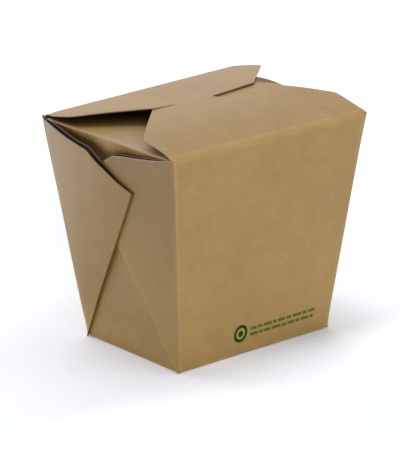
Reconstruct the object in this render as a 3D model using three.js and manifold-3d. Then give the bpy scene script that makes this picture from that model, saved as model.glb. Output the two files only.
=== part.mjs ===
// Closed noodle takeaway box: one folded sheet of kraft board, the 26 oz pail size.
// Millimetres, +Z up. The origin is the centre of the base and the wide front panel faces -Y.
//
// The walls taper down to a rectangular base. At each narrow side the spare board of the corners
// is folded into gusset flaps: the front corner's lies below, the back corner's lies over it.
// At the top a side tab folds in from each narrow side. The two wide panels' flaps rise over the
// tabs to a low ridge, where the back flap's free edge locks into a slit in the front flap.
// A shut box is solid here, apart from the gaps under the flaps at its two ends.

import * as THREE from 'three';
import { mergeVertices } from 'three/addons/utils/BufferGeometryUtils.js';
import Module from 'manifold-3d';

// Walls and base
const HEIGHT = 101; // base to the creases of the wide panels' flaps
const BASE_WIDTH = 85.4; // along X
const BASE_DEPTH = 64.3; // along Y
const TOP_WIDTH = 108.6;
const TOP_DEPTH = 91.4;
const BOARD = 0.5; // one layer of board
const CREASE = 0.9; // length of wall or flap taken up by a rounded crease

// Flaps on the wide panels
const RIDGE = 8.1; // height of the ridge over the creases, at the middle of the box
const RIDGE_TILT = 0.008; // rise of the ridge for each millimetre along X
const CUT_CORNER = 25.6; // 45 degree cut at the corners of a flap's free edge
const SHORT_CUT = 16.4; // the same on the front flap's right corner
const TUCK = 12; // reach of the front flap beyond the ridge, under the back flap
const FRONT_CURL = 1; // how far a flap bows upward between its crease and the ridge
const FRONT_CURL_TURN = -0.4; // change of that bow from the middle to the right end
const BACK_CURL = 0.5;
const BACK_CURL_TURN = 0.25;
const BACK_LIFT_LEFT = 0.9; // height of the back crease over the front one, near its left end
const BACK_LIFT_RIGHT = 2.8;
const LIFT_START = 9; // length of crease over which that height sets in at the left end

// Lock: the middle of the back flap's edge dips through a slit in the front flap
const SLIT_LEFT = -15.5;
const SLIT_RIGHT = 5.3;
const STEP_LEFT = 0.5; // height of the back flap's edge over the front flap at its two corners
const STEP_RIGHT = 1.05;
const STEP_LEAST = 0.08;

// Side tabs and the gaps over them
const TAB_CREASE_DROP = 1; // depth of the tab's flat part below the wide panels' creases
const TAB_END_DROP = 3; // the same where the gap ends
const GAP_END = 24; // distance from the middle to the inner end of a gap
const GAP_OUTSIDE = 60; // beyond the walls

// Gusset flaps, each two layers of board. A flap hinges at the corner of the walls and stands off
// the narrow side by its own thickness at its folded edge, by `lap` more where it lies over the
// other flap, and by `bow` more half way round at the top, where the folded board springs open.
// `top` runs along the cut edge as [distance from the box's middle, distance up the wall].
const GUSSET_DEPTH = 1.5;
const LAP_START = 60; // distance from the base corner to where the two folds cross
const BACK_GUSSET = {
  bow: 1.8,
  lap: 0.9,
  top: [[45.6, 100.4], [34.3, 97.5], [22.9, 96.1], [12.6, 95], [-0.5, 88.3], [-14.7, 80.3]],
};
const FRONT_GUSSET = {
  bow: 0.3,
  lap: 0.2,
  top: [[44.6, 101.3], [32.6, 99.2], [19.6, 97.3], [4.1, 95.1], [-7, 88.9], [-17, 83.2]],
};

const HALF_WIDTH = TOP_WIDTH / 2;
const HALF_DEPTH = TOP_DEPTH / 2;
const SIDE_LEAN = Math.atan((TOP_WIDTH - BASE_WIDTH) / 2 / HEIGHT);
const SIDE_CORNER_LEAN = Math.atan((TOP_DEPTH - BASE_DEPTH) / 2 / (HEIGHT / Math.cos(SIDE_LEAN)));
const FRONT_CORNER_LEAN = Math.atan(
  (TOP_WIDTH - BASE_WIDTH) / 2 / Math.hypot(HEIGHT, (TOP_DEPTH - BASE_DEPTH) / 2),
);
// A corner's spare board folds in half, so the fold bisects the angle between wall and wall.
const GUSSET_ANGLE = (Math.PI / 2 - SIDE_CORNER_LEAN - FRONT_CORNER_LEAN) / 2;

const AXIS_X = new THREE.Vector3(1, 0, 0);
const AXIS_Y = new THREE.Vector3(0, 1, 0);
const AXIS_Z = new THREE.Vector3(0, 0, 1);

const { clamp, lerp } = THREE.MathUtils;

const manifold = await Module();
manifold.setup();

function toSolid(geometry) {
  const bare = geometry.clone();
  bare.deleteAttribute('normal');
  bare.deleteAttribute('uv');
  const merged = mergeVertices(bare, 1e-4);
  const vertProperties = new Float32Array(merged.attributes.position.array);
  const triVerts = new Uint32Array(merged.index.array);
  return new manifold.Manifold(new manifold.Mesh({ numProp: 3, vertProperties, triVerts }));
}

function toGeometry(solid) {
  const { vertProperties, triVerts } = solid.getMesh();
  const geometry = new THREE.BufferGeometry();
  geometry.setAttribute('position', new THREE.BufferAttribute(vertProperties, 3));
  geometry.setIndex(new THREE.BufferAttribute(triVerts, 1));
  geometry.computeVertexNormals();
  return geometry;
}

// Moves every vertex of a geometry to where `place` puts it.
function reshape(geometry, place) {
  const position = geometry.attributes.position;
  const point = new THREE.Vector3();
  for (let i = 0; i < position.count; i += 1) {
    point.fromBufferAttribute(position, i);
    place(point);
    position.setXYZ(i, point.x, point.y, point.z);
  }
  return geometry;
}

function extrude(shape, depth, steps) {
  return new THREE.ExtrudeGeometry(shape, { depth, steps, curveSegments: 4, bevelEnabled: false });
}

// An outline in the YZ plane, extruded from x = from to x = to.
function alongX(shape, from, to, steps) {
  const geometry = extrude(shape, to - from, steps);
  geometry.translate(0, 0, from);
  return geometry.applyMatrix4(new THREE.Matrix4().makeBasis(AXIS_Y, AXIS_Z, AXIS_X));
}

// An outline in the XZ plane, extruded equally to both sides of y = 0.
function alongY(shape, depth) {
  const geometry = extrude(shape, depth, 1);
  geometry.translate(0, 0, -depth / 2);
  const backward = AXIS_Y.clone().negate();
  return geometry.applyMatrix4(new THREE.Matrix4().makeBasis(AXIS_X, AXIS_Z, backward));
}

const halfDepthAt = (z) => lerp(BASE_DEPTH, TOP_DEPTH, z / HEIGHT) / 2;
const halfWidthAt = (z) => lerp(BASE_WIDTH, TOP_WIDTH, z / HEIGHT) / 2;

// Height of a bowed flap at `share` of the way from its crease to the ridge.
const bowed = (crease, ridge, curl, share) => (
  lerp(crease, ridge, share + curl * share * (1 - share))
);

const ridgeAt = (x) => RIDGE + RIDGE_TILT * x;

// Height of the back flap's edge over the front flap along the ridge.
function stepAt(x) {
  const corner = HALF_WIDTH - CUT_CORNER;
  const left = STEP_LEFT * clamp((SLIT_LEFT - x) / (SLIT_LEFT + corner), 0, 1);
  const right = STEP_RIGHT * clamp((x - SLIT_RIGHT) / (corner - SLIT_RIGHT), 0, 1);
  return Math.max(STEP_LEAST, left, right);
}

function frontFlapHeight(x, y) {
  const share = clamp(1 + y / HALF_DEPTH, 0, 1);
  const curl = FRONT_CURL + (FRONT_CURL_TURN * x) / HALF_WIDTH;
  return bowed(0, ridgeAt(x), curl, share);
}

function backFlapHeight(x, y) {
  const share = clamp(1 - y / HALF_DEPTH, 0, 1);
  const curl = BACK_CURL + (BACK_CURL_TURN * x) / HALF_WIDTH;
  const along = clamp((x + HALF_WIDTH) / LIFT_START, 0, 1);
  const lift = along * lerp(BACK_LIFT_LEFT, BACK_LIFT_RIGHT, (x + HALF_WIDTH) / TOP_WIDTH);
  return bowed(lift, ridgeAt(x) + stepAt(x), curl, share);
}

const flapHeight = (x, y) => (y < 0 ? frontFlapHeight(x, y) : backFlapHeight(x, y));

const tabDrop = (x) => (
  lerp(TAB_END_DROP, TAB_CREASE_DROP, clamp((Math.abs(x) - GAP_END) / (HALF_WIDTH - GAP_END), 0, 1))
);

// The points of both flaps' surface in the YZ plane, from y = from to y = to.
function flapLine(from, to, depthBelow) {
  const segments = 14;
  const points = [];
  for (let i = 0; i <= segments; i += 1) {
    const y = lerp(from, to, i / segments);
    if (i === segments / 2) {
      points.push(new THREE.Vector2(-CREASE / 4, HEIGHT + frontFlapHeight(0, y) - depthBelow));
    }
    points.push(new THREE.Vector2(y, HEIGHT + flapHeight(0, y) - depthBelow));
  }
  return points;
}

// The box seen from its narrow side: base, wide panels and flaps.
function endOutline() {
  const shape = new THREE.Shape();
  const halfBase = BASE_DEPTH / 2;
  const line = flapLine(-HALF_DEPTH + CREASE, HALF_DEPTH - CREASE, 0);
  shape.moveTo(halfBase - CREASE, 0);
  shape.quadraticCurveTo(halfBase, 0, halfDepthAt(CREASE), CREASE);
  shape.lineTo(halfDepthAt(HEIGHT - CREASE), HEIGHT - CREASE);
  shape.quadraticCurveTo(HALF_DEPTH, HEIGHT + flapHeight(0, HALF_DEPTH), line.at(-1).x, line.at(-1).y);
  line.reverse();
  line.slice(1).forEach((point) => shape.lineTo(point.x, point.y));
  shape.quadraticCurveTo(-HALF_DEPTH, HEIGHT, -halfDepthAt(HEIGHT - CREASE), HEIGHT - CREASE);
  shape.lineTo(-halfDepthAt(CREASE), CREASE);
  shape.quadraticCurveTo(-halfBase, 0, -halfBase + CREASE, 0);
  return shape;
}

// The box seen from its wide front, without the flaps' shape.
function frontOutline() {
  const shape = new THREE.Shape();
  const halfBase = BASE_WIDTH / 2;
  const roof = HEIGHT + 2 * RIDGE;
  shape.moveTo(-halfBase + CREASE, 0);
  shape.lineTo(halfBase - CREASE, 0);
  shape.quadraticCurveTo(halfBase, 0, halfWidthAt(CREASE), CREASE);
  shape.lineTo(HALF_WIDTH, HEIGHT);
  shape.lineTo(HALF_WIDTH, roof);
  shape.lineTo(-HALF_WIDTH, roof);
  shape.lineTo(-HALF_WIDTH, HEIGHT);
  shape.lineTo(-halfWidthAt(CREASE), CREASE);
  shape.quadraticCurveTo(-halfBase, 0, -halfBase + CREASE, 0);
  return shape;
}

// The walls filled up to the flaps, before the gaps and cut corners are taken out.
function makeBody() {
  const steps = 12;
  const sheet = reshape(alongX(endOutline(), -HALF_WIDTH, HALF_WIDTH, steps), (point) => {
    if (point.z > HEIGHT / 2) {
      point.z += flapHeight(point.x, point.y) - flapHeight(0, point.y);
    }
  });
  return toSolid(sheet).intersect(toSolid(alongY(frontOutline(), 2 * TOP_DEPTH)));
}

// The space between a side tab and the flaps at one end of the box; side is -1 or 1.
function makeGap(side) {
  const wall = HALF_DEPTH - CREASE;
  const line = flapLine(-wall, wall, BOARD);
  const floor = HEIGHT - TAB_END_DROP;
  const shape = new THREE.Shape(line);
  shape.lineTo(halfDepthAt(floor) - BOARD, floor);
  shape.lineTo(-halfDepthAt(floor) + BOARD, floor);
  const [from, to] = side < 0 ? [-GAP_OUTSIDE, -GAP_END] : [GAP_END, GAP_OUTSIDE];
  const steps = 4;
  return toSolid(reshape(alongX(shape, from, to, steps), (point) => {
    if (point.z > HEIGHT - TAB_CREASE_DROP) {
      point.z += flapHeight(point.x, point.y) - flapHeight(0, point.y);
    } else {
      point.z = HEIGHT - tabDrop(point.x);
    }
  }));
}

// What is cut off outside the flaps' corners at one end, as a prism over the tab.
function makeCornerCut(side) {
  const frontCut = side < 0 ? CUT_CORNER : SHORT_CUT;
  const edge = HALF_WIDTH - CUT_CORNER;
  const shape = new THREE.Shape();
  shape.moveTo(side * GAP_OUTSIDE, CUT_CORNER);
  shape.lineTo(side * HALF_WIDTH, CUT_CORNER);
  shape.lineTo(side * edge, 0);
  shape.lineTo(side * (HALF_WIDTH - frontCut), 0);
  shape.lineTo(side * (HALF_WIDTH - frontCut), frontCut - CUT_CORNER);
  shape.lineTo(side * HALF_WIDTH, -CUT_CORNER);
  shape.lineTo(side * GAP_OUTSIDE, -CUT_CORNER);
  const prism = extrude(shape, 2 * RIDGE, 1);
  prism.translate(0, 0, HEIGHT - TAB_CREASE_DROP);
  return toSolid(prism);
}

// The end of the front flap that lies under the back flap, and shows at the right.
function makeTuck() {
  const right = HALF_WIDTH - SHORT_CUT;
  const left = -HALF_WIDTH + CUT_CORNER;
  const shape = new THREE.Shape();
  shape.moveTo(left, -CREASE);
  shape.lineTo(right, -CREASE);
  shape.lineTo(right, TUCK);
  shape.lineTo(left + TUCK, TUCK);
  shape.lineTo(left, 0);
  return toSolid(reshape(extrude(shape, BOARD, 1), (point) => {
    const under = backFlapHeight(point.x, Math.max(point.y, 0)) - BOARD / 2;
    point.z += HEIGHT - BOARD + Math.min(ridgeAt(point.x), under);
  }));
}

// How far a gusset flap's outer face stands off the narrow side, at a point of that side.
function standOff({ bow, lap }, across, up) {
  const radius = Math.hypot(BASE_DEPTH / 2 - across, up);
  const turn = Math.atan2(BASE_DEPTH / 2 - across, up) + SIDE_CORNER_LEAN;
  const share = clamp(turn / GUSSET_ANGLE, 0, 1);
  const layers = 2 * BOARD + lap * clamp(radius / LAP_START, 0, 1);
  return share * layers + bow * (radius / HEIGHT) * Math.sin(Math.PI * share);
}

// One gusset flap. side is -1 or 1 along X, corner is -1 for the front panel and 1 for the back.
function makeGusset(gusset, side, corner) {
  const outline = gusset.top.map(([across, up]) => new THREE.Vector2(corner * across, up));
  outline.push(new THREE.Vector2((corner * BASE_DEPTH) / 2, CREASE));
  const slab = reshape(extrude(new THREE.Shape(outline), 1, 1), (point) => {
    const inner = side > 0 ? 1 - point.z : point.z;
    const out = standOff(gusset, corner * point.x, point.y) - inner * GUSSET_DEPTH;
    const across = point.x;
    const up = point.y;
    point.x = side * (BASE_WIDTH / 2 + up * Math.sin(SIDE_LEAN) + out * Math.cos(SIDE_LEAN));
    point.y = across;
    point.z = up * Math.cos(SIDE_LEAN) - out * Math.sin(SIDE_LEAN);
  });
  return toSolid(slab);
}

function makeBox() {
  let box = makeBody();
  [-1, 1].forEach((side) => {
    box = box.subtract(makeGap(side));
    box = box.subtract(makeCornerCut(side));
    box = box.add(makeGusset(FRONT_GUSSET, side, -1));
    box = box.add(makeGusset(BACK_GUSSET, side, 1));
  });
  return box.add(makeTuck());
}

const kraftBoard = new THREE.MeshStandardMaterial({ color: 0xa98f63, roughness: 0.82, metalness: 0 });
const noodleBox = new THREE.Mesh(toGeometry(makeBox()), kraftBoard);
noodleBox.name = 'noodle_box';

const group = new THREE.Group();
group.add(noodleBox);

export default group;
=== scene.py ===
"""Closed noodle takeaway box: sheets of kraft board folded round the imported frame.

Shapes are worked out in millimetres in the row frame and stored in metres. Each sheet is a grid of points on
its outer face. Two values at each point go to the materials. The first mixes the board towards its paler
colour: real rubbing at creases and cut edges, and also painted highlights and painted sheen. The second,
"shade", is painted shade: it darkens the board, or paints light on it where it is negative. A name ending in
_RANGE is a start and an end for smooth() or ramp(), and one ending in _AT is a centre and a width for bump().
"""

import math

import bpy
import numpy as np
from mathutils import Matrix, Vector


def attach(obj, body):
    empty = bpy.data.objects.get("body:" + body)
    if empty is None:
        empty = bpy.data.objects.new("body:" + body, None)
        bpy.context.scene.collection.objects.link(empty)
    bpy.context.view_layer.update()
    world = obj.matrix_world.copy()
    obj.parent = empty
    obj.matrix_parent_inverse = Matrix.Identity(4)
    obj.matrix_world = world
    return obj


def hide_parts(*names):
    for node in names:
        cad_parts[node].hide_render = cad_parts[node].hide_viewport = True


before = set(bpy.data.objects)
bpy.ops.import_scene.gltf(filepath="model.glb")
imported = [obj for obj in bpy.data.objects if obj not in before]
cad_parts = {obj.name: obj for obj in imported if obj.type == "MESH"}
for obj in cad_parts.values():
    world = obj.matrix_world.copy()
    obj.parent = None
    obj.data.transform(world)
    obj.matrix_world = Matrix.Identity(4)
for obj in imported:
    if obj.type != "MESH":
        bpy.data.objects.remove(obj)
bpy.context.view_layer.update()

MM = 0.001

# Walls and base, as in the CAD
HEIGHT = 101.0
BASE_WIDTH = 85.4
BASE_DEPTH = 64.3
TOP_WIDTH = 108.6
TOP_DEPTH = 91.4
HALF_WIDTH = TOP_WIDTH / 2
HALF_DEPTH = TOP_DEPTH / 2
CREASE = 0.9
BOARD = 0.45
LAYER_GAP = 0.06
CORNER_FRONT, CORNER_SIDE = 0.8, 2.2

# How far the corners stand out of the plain taper: at the base, and steps of (size, heights) above it
FRONT_CORNERS = 0.15, [(0.35, (HEIGHT - 20, HEIGHT))]
BACK_CORNERS = 0.0, [(0.55, (0, 15)), (-0.25, (25, 60)), (-0.2, (HEIGHT - 10, HEIGHT))]

# Flaps on the wide panels. They meet at the ridge, whose height is given over the creases.
RIDGE = 8.1
RIDGE_TILT = 0.008
RIDGE_SAG, RIDGE_SAG_AT = 0.42, (5, 25)
CUT_CORNER = 25.6
SOFT_TURN = 6
SHORT_CUT = 16.4
FRONT_CURL, FRONT_CURL_TURN = 1.0, -0.4
BACK_CURL, BACK_CURL_TURN = 0.5, 0.25
FRONT_END_RISE, END_RISE_RANGE, END_RISE_AT = 0.5, (27, 37), (-9, 12)
LEFT_DROOP, DROOP_RANGE, DROOP_AT = 0.8, (-46, -HALF_WIDTH), (-CUT_CORNER, 9)
BACK_END_EXTRA, EXTRA_RISE_RANGE, EXTRA_FALL_RANGE = 0.7, (0, 20), (30, 40)
ROOT_NOTCH, ROOT_NOTCH_LENGTH = 2.2, 8.0

# Creases of the wide panels: dips of (depth, centre, width) in front, and the lift of the back one
FRONT_DIPS = [(0.3, -16.5, 4), (0.15, 10, 4), (0.7, 37.5, 5)]
BACK_LIFT_LEFT, BACK_LIFT_RIGHT = 0.9, 2.8
LIFT_START = 0.6
LIFT_DIP, LIFT_DIP_AT = 0.3, (-HALF_WIDTH + 3, 3)
LIFT_RANGE = (HEIGHT - 16, HEIGHT)
FOLD_END_INSET = 0.12

# The slit, and the steps beside it between the two flaps
SLIT_LEFT, SLIT_RIGHT = -15.5, 4.9
RISE_LEFT, RISE_RIGHT = 0.55, 1.05
STEP_LEFT, STEP_RIGHT = 1.0, 0.3
STEP_LEFT_SIZE, STEP_LEFT_SPREAD = 1.3, 1.2
SLOT_RISE, SLOT_RISE_AT = 0.15, (0, 6)
SLOT_DROP, SLOT_DROP_AT = 0.95, (0, 9)

# The strip of the front flap that goes on under the back flap
TUCK = 12.0
TUCK_GAP = 0.12
TUCK_DIP, TUCK_DIP_AT = 0.1, (-7, 5)
TUCK_RANGE = (0, 0.8)
SLIT_DEPTH, SLIT_RANGE = 0.75, (0, 0.3)

# How far down the panel and in along the flap the front fold reaches, and how softly the cut corners turn
FRONT_FOLD = (1.4, 2.6)
FRONT_TURNS, BACK_TURNS = (0.5, 1.0), (1.3, 0.4)

# Rows and columns of the sheets, closest together where they bend
BASE_ROWS = (-2.0, -1.0)
BOTTOM = np.linspace(0, 1, 7)
PANEL = np.concatenate([np.linspace(CREASE, HEIGHT - 4, 70), np.linspace(HEIGHT - 3.5, HEIGHT - CREASE, 6)])
FOLD = np.linspace(0, 1, 9)
FLAP_STOPS = [40, 35, 31, 27.5, 26.6, 25.9, 25.6, 25.2, 24.6, 23.5, 21, 18, 15, 12, 9.6, 9.2, 8.8, 7, 5, 3,
              1.5, 0.6, 0]
FLAP_STEP = 1.5
TUCK_STOPS = [-0.35, -0.8, -1.5, -4, -8, -TUCK]
LAST_ROW_GAP = 0.2
WIDE_COLUMNS, SIDE_COLUMNS, CROWDING = 91, 61, 1.6
SLIT_COLUMNS = np.linspace(-0.3, 1.3, 12)
TAB_ROWS = 30
BASE_GRID = (40, 30)

# Tone of the wide sheets. Painted light and shade: painted sheen on both flaps, painted highlights along the
# front fold and up the front corners, painted shade on the front panel, and the painted shadow of the back
# flap's wing at the right end of the front flap's ridge
CUT_EDGE_WEAR, CUT_EDGE_WIDTH = 0.2, 0.25
BACK_FLAP_SHEEN, BACK_FOLD_WEAR = 0.05, 0.08
FRONT_FLAP_SHEEN, BENT_HIGHLIGHT, BENT_LIGHT, BENT_REACH = 0.06, 0.12, 0.1, 4.5
END_SHADE, END_SHADE_RANGE, END_SHADE_CORE = 0.54, (9, 5), 0.4
END_REACH, END_REACH_MORE, END_REACH_RANGE = 0.2, 10.0, (9, -4)
FRONT_FOLD_HIGHLIGHT, FRONT_FOLD_CREST = (0.05, 0.17), 0.09
FRONT_FOLD_LIGHT, FRONT_FOLD_RANGE = 0.14, (0, 0.5)
FRONT_SHADE_LOW, FRONT_SHADE_HIGH, FRONT_SHADE_FOLD = 0.05, 0.08, 0.02
FRONT_TOP_HIGHLIGHT, FRONT_TOP_REACH = 0.05, 0.8
SIDE_EDGE_WEAR, SIDE_EDGE_WIDTH = 0.08, 0.9
FRONT_EDGE_HIGHLIGHT, FRONT_EDGE_RANGE = 0.2, (HEIGHT - 45, HEIGHT)
WIDE_BOTTOM_WEAR = 0.25

# Side panels and their tabs, with painted light and shade: painted highlights along the tab's fold and at its
# root, painted sheen on the tab, and painted light at its front end and near the panel's foot
SIDE_INSET, SIDE_FOLD_INSET, TAB_INSET = 0.6, 0.7, 0.9
SIDE_RECESS, RECESS_RISE_RANGE, RECESS_FALL_RANGE = 2.6, (74, 91), (90.5, HEIGHT + 3)
SIDE_FOLD_CLEAR = 0.05
TAB_CREASE_DROP = 0.2
TAB_END_DROP = -2.2
TAB_START, TAB_LEVEL, TAB_END = HALF_WIDTH - CREASE - SIDE_INSET, 24, 25.0
TAB_CUT_BACK, CUT_BACK_RANGE = 3.0, (HEIGHT - 6, HEIGHT - CREASE)
TAB_HIGHLIGHT, TAB_HIGHLIGHT_MORE, TAB_HIGHLIGHT_RANGE = 0.35, 0.65, (0.8, 0.05)
TAB_SHEEN, TAB_ROOT_HIGHLIGHT, TAB_ROOT_WIDTH = 0.25, 0.4, 0.8
SIDE_FOLD_HIGHLIGHT, SIDE_FOLD_POWER = 0.9, 0.6
SIDE_BOTTOM_WEAR = 0.3
BASE_LIFT = 0.02
# Painted light on the tab's front end
TAB_FRONT_LIGHT, TAB_FRONT_RANGE = 0.35, (0.14, 0.05)
# Painted light near the foot of the side panel
SIDE_FOOT_LIGHT, SIDE_FOOT_RANGE = 0.15, (19, 4)

# Painted light on a strip up the middle of the side panel, under its crease
STRIP_LIGHT_PALE, STRIP_LIGHT, STRIP_LIGHT_AT, STRIP_LIGHT_RANGE = 0.3, 0.3, (0.54, 0.07), (HEIGHT - 14, HEIGHT - 6)

# Painted shadow on the tabs, in the pocket under the flaps: inwards of this x, which moves outwards towards
# the back
POCKET_SHADE, POCKET_X, POCKET_TURN = 0.5, 33, 0.87
POCKET_START, POCKET_END = 2.5, -1.5

# Gusset flaps. fold: the fold's line, as (distance from the base corner, share of GUSSET_ANGLE). top and
# inner_top: the two layers' cut edges, as (across, up) on the narrow side. bow, flare: how far they arch out,
# over their whole height and near the top. puff: size and length of a bulge beside the corner. spring: how
# far the fold opens. lap: how far the flap stands off at the fold. inner_rise: arch of the inner layer.
# shade: painted shade at the top, of corner and fold. crest, foot: how much painted light along the fold and
# near the base. sheen: painted sheen that fades from the corner to the fold. fold_shade: painted shadow on
# the fold itself, or painted light where it is negative.
BACK_GUSSET = {
    "fold": [(0, 1.0), (25, 0.99), (46, 1.011), (61, 1.019), (74, 1.017), (100, 1.015)],
    "top": [(45.7, 102.5), (44.5, 101.5), (36.6, 99.9), (25.0, 97.5), (16.7, 96.3), (10.8, 95.4), (4.5, 91.3),
            (-1.6, 88.1), (-7.9, 84.6), (-16.5, 81.1)],
    "inner_top": [(45.7, 101.7), (43.3, 101.2), (37.9, 101.1), (28.4, 99.7), (18.5, 97.5), (9.7, 96.6),
                  (5.3, 93.8), (1.8, 91.3), (-4.1, 86.8), (-6.4, 84.6), (-12.1, 81.9), (-16.5, 80.6)],
    "bow": 2.5,
    "flare": -0.5,
    "puff": (0.7, 4.0),
    "spring": 0.2,
    "lap": 1.3,
    "inner_rise": 2.6,
    "shade": (0.0, 0.17),
    "crest": 0.0,
    "foot": 0.2,
    "sheen": 0.68,
    "fold_shade": 0.52,
    "fold_wear": 0.0,
    "edge_wear": 0.05,
    "edge_width": 0.25,
}
FRONT_GUSSET = {
    "fold": [(0, 1.0), (8, 1.0), (21, 0.983), (35, 0.981), (48, 1.011), (62, 1.018), (100, 1.018)],
    "top": [(45.6, 101.9), (43.3, 101.6), (33.6, 99.7), (21.0, 97.9), (11.5, 96.8), (5.1, 95.6), (-2.4, 91.3),
            (-17.0, 83.0)],
    "inner_top": [(45.7, 101.7), (40.2, 101.2), (32.8, 99.9), (19.6, 98.0), (10.9, 97.0), (6.6, 96.1),
                  (3.2, 94.7), (-3.4, 91.0), (-17.0, 83.0)],
    "bow": 0.35,
    "flare": 0.7,
    "puff": (0.3, 8.0),
    "spring": 0.0,
    "lap": 0.2,
    "inner_rise": 0.12,
    "shade": (0.24, 0.19),
    "crest": 0.1,
    "foot": 0.07,
    "sheen": 0.0,
    "fold_shade": -0.04,
    "fold_wear": 0.22,
    "edge_wear": 0.9,
    "edge_width": 0.38,
}
LAP_START = 60.0
PUFF_START = 30
FLARE_POWER, FLARE_ARCH = 4, 0.7
INNER_CLEAR, INNER_MEET_RANGE = 0.05, (0.8, 1.0)
WIDEST_CORNER = 0.35
CORNER_HUG = 1.8
CORNER_OVERLAP = 0.02
CORNER_WEAR = 0.12
FOLD_WEAR_WIDTH = 0.6
CREST_REACH = 5
FOOT_RANGE, GUSSET_SHADE_RANGE = (24, 6), (15, 100)
SHEEN_RANGE, SHEEN_POWER = (20, 100), 1.5
FIRST_ROWS, LAST_ROWS = [0.004, 0.01, 0.02], [0.98, 0.988, 0.993, 0.997, 1.0]
GUSSET_ROWS = np.concatenate([FIRST_ROWS, np.linspace(0.035, 0.97, 62), LAST_ROWS])
GUSSET_COLUMNS = np.concatenate([np.linspace(0, 0.08, 5), np.linspace(0.11, 0.9, 28),
                                 np.linspace(0.92, 1, 6)])
NEAREST_BEND, BEND_COLUMN, BEND_STEPS, EDGE_SAMPLES = 0.02, 0.006, 9, 201
FLAT_POINT = (20, 30)

# The print, on the front panel: rings of (height, inner radius, outer radius), rows of (height, bar lengths)
INK_LIFT = 0.012
MARK_X, MARK_STRETCH = -9.1, 1.1
MARK_RINGS = [(10.55, 2.5, 3.85), (10.4, 0.0, 1.35)]
RING_STEPS = 72
BAR_X, BAR_HEIGHT, BAR_GAP = -3.6, 1.4, 0.75
BAR_ROWS = [
    (11.6, [3.6, 2.5, 4.8, 2.0, 4.1, 3.1, 5.2, 2.4, 3.9]),
    (8.75, [4.6, 2.2, 3.4, 5.4, 2.6, 3.8, 2.3, 4.4, 2.1]),
]

SPREAD = (TOP_WIDTH - BASE_WIDTH) / 2
SPREAD_DEPTH = (TOP_DEPTH - BASE_DEPTH) / 2
SIDE_LEAN = math.atan(SPREAD / HEIGHT)
SIDE_CORNER_LEAN = math.atan(SPREAD_DEPTH / (HEIGHT / math.cos(SIDE_LEAN)))
FRONT_CORNER_LEAN = math.atan(SPREAD / math.hypot(HEIGHT, SPREAD_DEPTH))
FRONT_LEAN = math.atan(SPREAD_DEPTH / HEIGHT)
GUSSET_ANGLE = (math.pi / 2 - SIDE_CORNER_LEAN - FRONT_CORNER_LEAN) / 2


def lerp(a, b, t):
    return a + (b - a) * t


def smooth(low, high, value):
    t = np.clip((np.asarray(value, float) - low) / (high - low), 0, 1)
    return t * t * (3 - 2 * t)


def bump(centre, width, value):
    return np.exp(-(((np.asarray(value, float) - centre) / width) ** 2))


def half_depth(z):
    return lerp(BASE_DEPTH, TOP_DEPTH, np.clip(z / HEIGHT, 0, 1)) / 2


def half_width(z):
    return lerp(BASE_WIDTH, TOP_WIDTH, np.clip(z / HEIGHT, 0, 1)) / 2


# ---- height of the two flaps over the creases ----

def bowed(crease, ridge, curl, share):
    return lerp(crease, ridge, share + curl * share * (1 - share))


def ridge_at(x):
    return RIDGE + RIDGE_TILT * x - RIDGE_SAG * bump(*RIDGE_SAG_AT, x)


def past_slit(x):
    """How far out from the slit a point of the ridge is, 0 to 1, to the left and to the right."""
    end = HALF_WIDTH - CUT_CORNER
    left = np.clip((SLIT_LEFT - x) / (SLIT_LEFT + end), 0, 1)
    return left, np.clip((x - SLIT_RIGHT) / (end - SLIT_RIGHT), 0, 1)


def shoulder(x, y=0.0):
    """Above 0 where the back flap lies on the front flap, 0 where its tongue goes through the slit. Away from
    the ridge the step between them is longer."""
    away = np.abs(y)
    left = STEP_LEFT_SIZE * (1 - smooth(SLIT_LEFT - STEP_LEFT - STEP_LEFT_SPREAD * away, SLIT_LEFT, x))
    return left + smooth(SLIT_RIGHT, SLIT_RIGHT + STEP_RIGHT + away, x)


def rise_at(x):
    left, right = past_slit(x)
    return np.maximum(RISE_LEFT * left, RISE_RIGHT * right)


def corner_out(sign, z):
    """How far out of the plain taper the corners of the front (-1) or back (1) panel stand."""
    at_base, steps = FRONT_CORNERS if sign < 0 else BACK_CORNERS
    return at_base + sum(size * smooth(*heights, z) for size, heights in steps)


def front_crease(x):
    """The crease isn't quite straight."""
    return -sum(depth * bump(centre, width, x) for depth, centre, width in FRONT_DIPS)


def back_lift(x):
    along = smooth(-1, 1, (x + HALF_WIDTH) / LIFT_START)
    sloped = lerp(BACK_LIFT_LEFT, BACK_LIFT_RIGHT, (x + HALF_WIDTH) / TOP_WIDTH)
    return along * (sloped - LIFT_DIP * bump(*LIFT_DIP_AT, x))


def front_ridge(x, y=0.0):
    """Right of the back flap the front flap springs up a little."""
    return ridge_at(x) + FRONT_END_RISE * smooth(*END_RISE_RANGE, x) * bump(*END_RISE_AT, y)


def front_flap(x, y):
    share = np.clip(1 + y / HALF_DEPTH, 0, 1)
    curl = FRONT_CURL + FRONT_CURL_TURN * x / HALF_WIDTH
    droop = LEFT_DROOP * smooth(*DROOP_RANGE, x) * bump(*DROOP_AT, y)
    return bowed(front_crease(x), front_ridge(x, y), curl, share) - slot_drop(x, y) - droop


def slot_drop(x, y):
    """The front flap sinks a little under the back flap, right of the slit."""
    below = -np.minimum(y, 0)
    along = smooth(SLIT_RIGHT, SLIT_RIGHT + STEP_RIGHT + below, x) * (1 - past_slit(x)[1])
    return SLOT_DROP * along * bump(*SLOT_DROP_AT, below)


def back_flap(x, y):
    share = np.clip(1 - y / HALF_DEPTH, 0, 1)
    curl = BACK_CURL + BACK_CURL_TURN * x / HALF_WIDTH
    raised = SLOT_RISE * shoulder(x, y) * bump(*SLOT_RISE_AT, y)
    return bowed(back_lift(x), ridge_at(x) + rise_at(x), curl, share) + raised


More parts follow.
